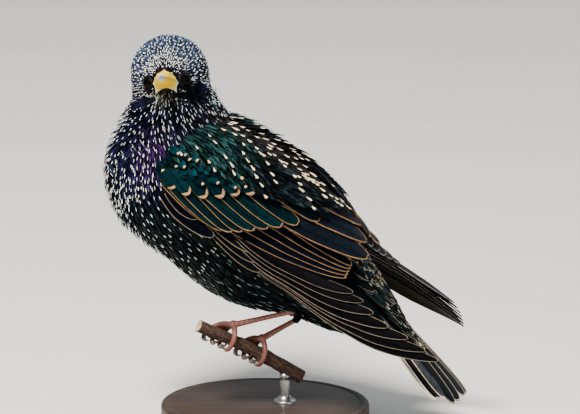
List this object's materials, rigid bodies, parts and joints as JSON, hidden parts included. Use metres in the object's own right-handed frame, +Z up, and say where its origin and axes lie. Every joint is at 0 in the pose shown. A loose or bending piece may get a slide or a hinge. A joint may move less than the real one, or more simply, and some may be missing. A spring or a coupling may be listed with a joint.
{
  "type": "perched starling still model",
  "caption": "Life-size still model of a starling with pale-spotted dark plumage, perched on a cut twig that a rod holds above a round base, its head turned to the viewer.",
  "frame": {"origin": "middle of the stand base's underside", "axes": "+Z up, the bird heads for -X with its left side towards -Y, where the viewer stands and its head is turned"},
  "size_m": [0.1422, 0.084, 0.1541],
  "materials": {
    "dark_plumage": "satin, glossed blue-green",
    "flight_feathers": "satin",
    "bill_yellow": "satin",
    "eye_dark": "gloss",
    "leg_pink": "satin",
    "claw_grey": "satin",
    "bark": "rough",
    "stand_wood": "satin",
    "stand_steel": "brushed"
  },
  "bodies": {
    "root": {"torso": "dark_plumage", "neck": "dark_plumage", "head": "dark_plumage", "eye_left": "eye_dark", "eye_right": "eye_dark", "bill_upper": "bill_yellow", "bill_lower": "bill_yellow", "wing_left": "flight_feathers", "wing_right": "flight_feathers", "tail": "dark_plumage", "leg_left": "leg_pink", "foot_left": "leg_pink", "leg_right": "leg_pink", "foot_right": "leg_pink", "perch": "bark", "stand_base": "stand_wood", "stand_rod": "stand_steel", "claw_left_1": "claw_grey", "claw_left_2": "claw_grey", "claw_left_3": "claw_grey", "claw_left_4": "claw_grey", "claw_right_1": "claw_grey", "claw_right_2": "claw_grey", "claw_right_3": "claw_grey", "claw_right_4": "claw_grey"}
  },
  "joints": []
}
